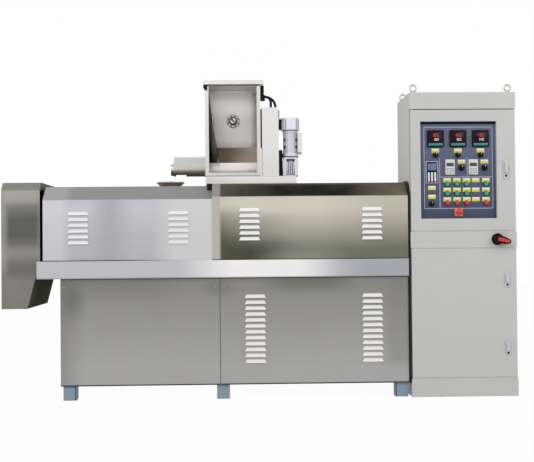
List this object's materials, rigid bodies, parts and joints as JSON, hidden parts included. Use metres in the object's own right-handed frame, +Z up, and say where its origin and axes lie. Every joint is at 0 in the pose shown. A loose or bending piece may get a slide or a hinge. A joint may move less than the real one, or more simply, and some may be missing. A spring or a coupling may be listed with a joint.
{
  "type": "food extruder",
  "caption": "Enclosed food extruder line with louvred covers, a hopper screw feeder on top, a cutter hood at one end and a control cabinet at the other.",
  "frame": {"origin": "centre of the overall box in X and Y, on the floor", "axes": "+X along the line from the cutter hood to the control cabinet, +Z up, the front faces -Y"},
  "size_m": [2.9046, 0.797, 1.821],
  "materials": {
    "leg_paint": "light blue-grey satin",
    "panel_grey": "grey satin",
    "dark_plate": "black matte",
    "bed_steel": "bright satin",
    "cover_steel": "satin",
    "hood_steel": "satin",
    "head_steel": "machined",
    "clear": "clear",
    "feeder_steel": "light satin",
    "black_part": "black matte",
    "motor_paint": "light cast",
    "cabinet_paint": "light warm grey satin",
    "slate_panel": "dark slate blue",
    "pale_plastic": "pale grey",
    "button_green": "green",
    "button_red": "red",
    "meter_blue": "blue grey",
    "bolt_steel": "zinc"
  },
  "bodies": {
    "machine": {"legs": "leg_paint", "front_left_panel": "panel_grey", "front_right_panel": "panel_grey", "back_left_panel": "panel_grey", "back_right_panel": "panel_grey", "left_end_panel": "panel_grey", "bottom_tray": "panel_grey", "machine_end_plate": "dark_plate", "front_bed_beam": "bed_steel", "back_bed_beam": "bed_steel", "left_bed_beam": "bed_steel", "bed_plate": "bed_steel", "barrel_cover": "cover_steel", "barrel_cover_end": "cover_steel", "gearbox_cover": "cover_steel", "extruder_head": "head_steel", "hood_front": "hood_steel", "hood_back": "hood_steel", "hood_shell": "hood_steel", "feed_funnel": "feeder_steel", "feeder_base": "feeder_steel", "feeder_bracket": "black_part", "feeder_trough": "feeder_steel", "hopper_body": "feeder_steel", "hopper_liner": "feeder_steel", "hopper_window": "clear", "lid_hinge": "bolt_steel", "lid_catch": "black_part", "agitator_hub": "bolt_steel", "chain_cover": "feeder_steel", "drive_coupling": "black_part", "gear_reducer": "motor_paint", "motor_body": "motor_paint", "motor_fan_cowl": "motor_paint", "motor_terminal_box": "motor_paint", "lid_switch": "black_part", "switch_conduits": "black_part", "cabinet_left_side": "cabinet_paint", "cabinet_right_side": "cabinet_paint", "cabinet_back": "cabinet_paint", "cabinet_roof": "cabinet_paint", "cabinet_floor": "cabinet_paint", "cabinet_plinth": "cabinet_paint", "cabinet_middle_rail": "cabinet_paint", "isolator_base": "black_part", "eyebolts": "bolt_steel"},
    "instrument_door": {"instrument_door": "cabinet_paint", "control_panel": "slate_panel", "temperature_controllers": "black_part", "keypads": "pale_plastic", "push_buttons": "button_green", "selector_knobs": "black_part", "emergency_stop": "button_red", "supply_meter": "meter_blue", "upper_door_lock": "pale_plastic"},
    "lower_door": {"lower_door": "cabinet_paint", "lower_door_locks": "pale_plastic"},
    "isolator_handle": {"isolator_handle": "button_red"},
    "hopper_lid": {"hopper_lid": "feeder_steel"}
  },
  "joints": [
    {"name": "instrument_door_hinge", "type": "hinge", "parent": "machine", "child": "instrument_door", "pos_m": [0.86525, -0.3395, 1.272], "axis": [0, 0, -1], "range_deg": [0, 110]},
    {"name": "lower_door_hinge", "type": "hinge", "parent": "machine", "child": "lower_door", "pos_m": [0.86525, -0.3395, 0.471], "axis": [0, 0, -1], "range_deg": [0, 110]},
    {"name": "isolator_turn", "type": "hinge", "parent": "machine", "child": "isolator_handle", "pos_m": [1.34225, -0.3585, 0.8815], "axis": [0, -1, 0], "range_deg": [0, 90]},
    {"name": "hopper_lid_hinge", "type": "hinge", "parent": "machine", "child": "hopper_lid", "pos_m": [-0.14325, 0.1445, 1.803], "axis": [-1, 0, 0], "range_deg": [0, 100]}
  ]
}
